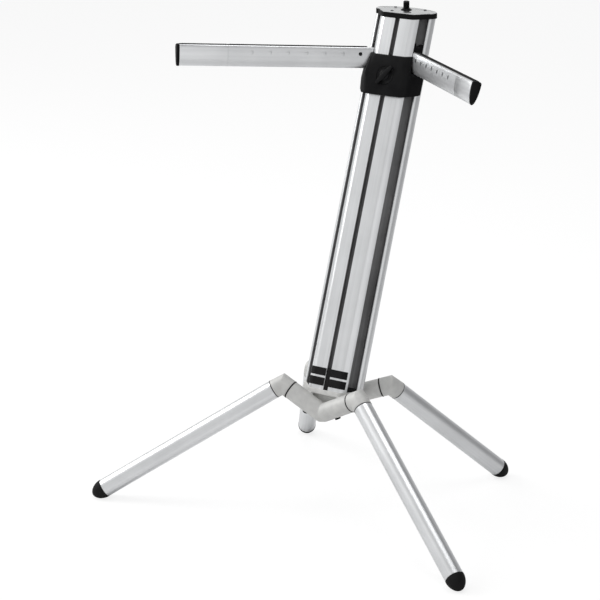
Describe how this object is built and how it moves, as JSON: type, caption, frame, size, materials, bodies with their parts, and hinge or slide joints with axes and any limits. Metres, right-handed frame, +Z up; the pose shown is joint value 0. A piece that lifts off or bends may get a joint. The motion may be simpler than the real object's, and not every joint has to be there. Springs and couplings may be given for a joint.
{
  "type": "keyboard stand",
  "caption": "Column keyboard stand with swivelling folding legs, a sliding clamped collar and two folding, telescoping support arms.",
  "frame": {"origin": "centre of the bounding box on the floor; X = 0 is the symmetry plane", "axes": "+X to the player's right, -Y towards the player, +Z up"},
  "size_m": [0.9062, 0.5997, 1.0445],
  "materials": {
    "satin_aluminium": "satin",
    "grey_casting": "matte",
    "bright_plate": "polished",
    "black_rubber": "matte",
    "black_plastic": "satin",
    "black_steel": "satin",
    "steel": "satin"
  },
  "bodies": {
    "stand": {"base_casting": "grey_casting", "column_profile": "satin_aluminium", "cap_rim": "black_plastic", "top_plate": "bright_plate", "top_stud": "black_steel", "stud_flange_nut": "black_steel", "slot_plug": "black_rubber", "band_lower_left": "black_rubber", "band_lower_right": "black_rubber", "band_upper_left": "black_rubber", "band_upper_right": "black_rubber", "groove_plug_left": "black_rubber", "base_bolt_left": "steel", "groove_plug_right": "black_rubber", "base_bolt_right": "steel", "washer_front_left": "black_rubber", "swivel_bolt_front_left": "steel", "washer_front_right": "black_rubber", "swivel_bolt_front_right": "steel", "washer_rear_left": "black_rubber", "swivel_bolt_rear_left": "steel", "washer_rear_right": "black_rubber", "swivel_bolt_rear_right": "steel"},
    "collar": {"collar_body": "black_plastic", "t_nut": "steel", "pivot_pin_left": "steel", "pivot_pin_right": "steel"},
    "knob": {"clamp_knob": "black_plastic", "clamp_screw": "steel"},
    "leg_front_left": {"elbow_front_left": "grey_casting", "leg_tube_front_left": "satin_aluminium", "foot_front_left": "black_rubber"},
    "leg_front_right": {"elbow_front_right": "grey_casting", "leg_tube_front_right": "satin_aluminium", "foot_front_right": "black_rubber"},
    "leg_rear_left": {"elbow_rear_left": "grey_casting", "leg_tube_rear_left": "satin_aluminium", "foot_rear_left": "black_rubber"},
    "leg_rear_right": {"elbow_rear_right": "grey_casting", "leg_tube_rear_right": "satin_aluminium", "foot_rear_right": "black_rubber"},
    "arm_left": {"arm_root_left": "steel", "arm_sleeve_left": "satin_aluminium", "sleeve_pad_left": "black_rubber"},
    "arm_end_left": {"slide_bar_left": "satin_aluminium", "head_pad_left": "black_rubber", "end_cap_left": "black_plastic"},
    "detent_left": {"detent_button_left": "black_plastic"},
    "arm_right": {"arm_root_right": "steel", "arm_sleeve_right": "satin_aluminium", "sleeve_pad_right": "black_rubber"},
    "arm_end_right": {"slide_bar_right": "satin_aluminium", "head_pad_right": "black_rubber", "end_cap_right": "black_plastic"},
    "detent_right": {"detent_button_right": "black_plastic"}
  },
  "joints": [
    {"name": "leg_front_left_swivel", "type": "hinge", "parent": "stand", "child": "leg_front_left", "pos_m": [-0.0933, -0.08165, 0.2658], "axis": [-0.8747, -0.079, 0.4782], "range_deg": [0, 180]},
    {"name": "leg_front_right_swivel", "type": "hinge", "parent": "stand", "child": "leg_front_right", "pos_m": [0.0933, -0.08165, 0.2658], "axis": [-0.8747, 0.079, -0.4782], "range_deg": [0, 180]},
    {"name": "leg_rear_left_swivel", "type": "hinge", "parent": "stand", "child": "leg_rear_left", "pos_m": [-0.0965, 0.04955, 0.2587], "axis": [0.8683, -0.3979, -0.296], "range_deg": [0, 133]},
    {"name": "leg_rear_right_swivel", "type": "hinge", "parent": "stand", "child": "leg_rear_right", "pos_m": [0.0965, 0.04955, 0.2587], "axis": [0.8683, 0.3979, 0.296], "range_deg": [0, 133]},
    {"name": "collar_slide", "type": "slide", "parent": "stand", "child": "collar", "axis": [0, 0.3633, 0.9317], "range_m": [-0.45, 0.02]},
    {"name": "knob_turn", "type": "hinge", "parent": "collar", "child": "knob", "pos_m": [0, 0.18064, 0.898], "axis": [0, -0.9317, 0.3633], "range_deg": [0, 270]},
    {"name": "arm_left_fold", "type": "hinge", "parent": "collar", "child": "arm_left", "pos_m": [-0.04818, 0.22845, 0.94962], "axis": [-0.7071, 0.6588, -0.2569], "range_deg": [0, 90]},
    {"name": "arm_left_extend", "type": "slide", "parent": "arm_left", "child": "arm_end_left", "axis": [-0.6927, -0.7183, 0.0648], "range_m": [0, 0.24]},
    {"name": "detent_left_press", "type": "slide", "parent": "arm_end_left", "child": "detent_left", "axis": [-0.7071, 0.6588, -0.2569], "range_m": [0, 0.002], "stiffness_N_per_m": 400},
    {"name": "arm_right_fold", "type": "hinge", "parent": "collar", "child": "arm_right", "pos_m": [0.04818, 0.22845, 0.94962], "axis": [-0.7071, -0.6588, 0.2569], "range_deg": [0, 90]},
    {"name": "arm_right_extend", "type": "slide", "parent": "arm_right", "child": "arm_end_right", "axis": [0.6927, -0.7183, 0.0648], "range_m": [0, 0.24]},
    {"name": "detent_right_press", "type": "slide", "parent": "arm_end_right", "child": "detent_right", "axis": [0.7071, 0.6588, -0.2569], "range_m": [0, 0.002], "stiffness_N_per_m": 400}
  ]
}
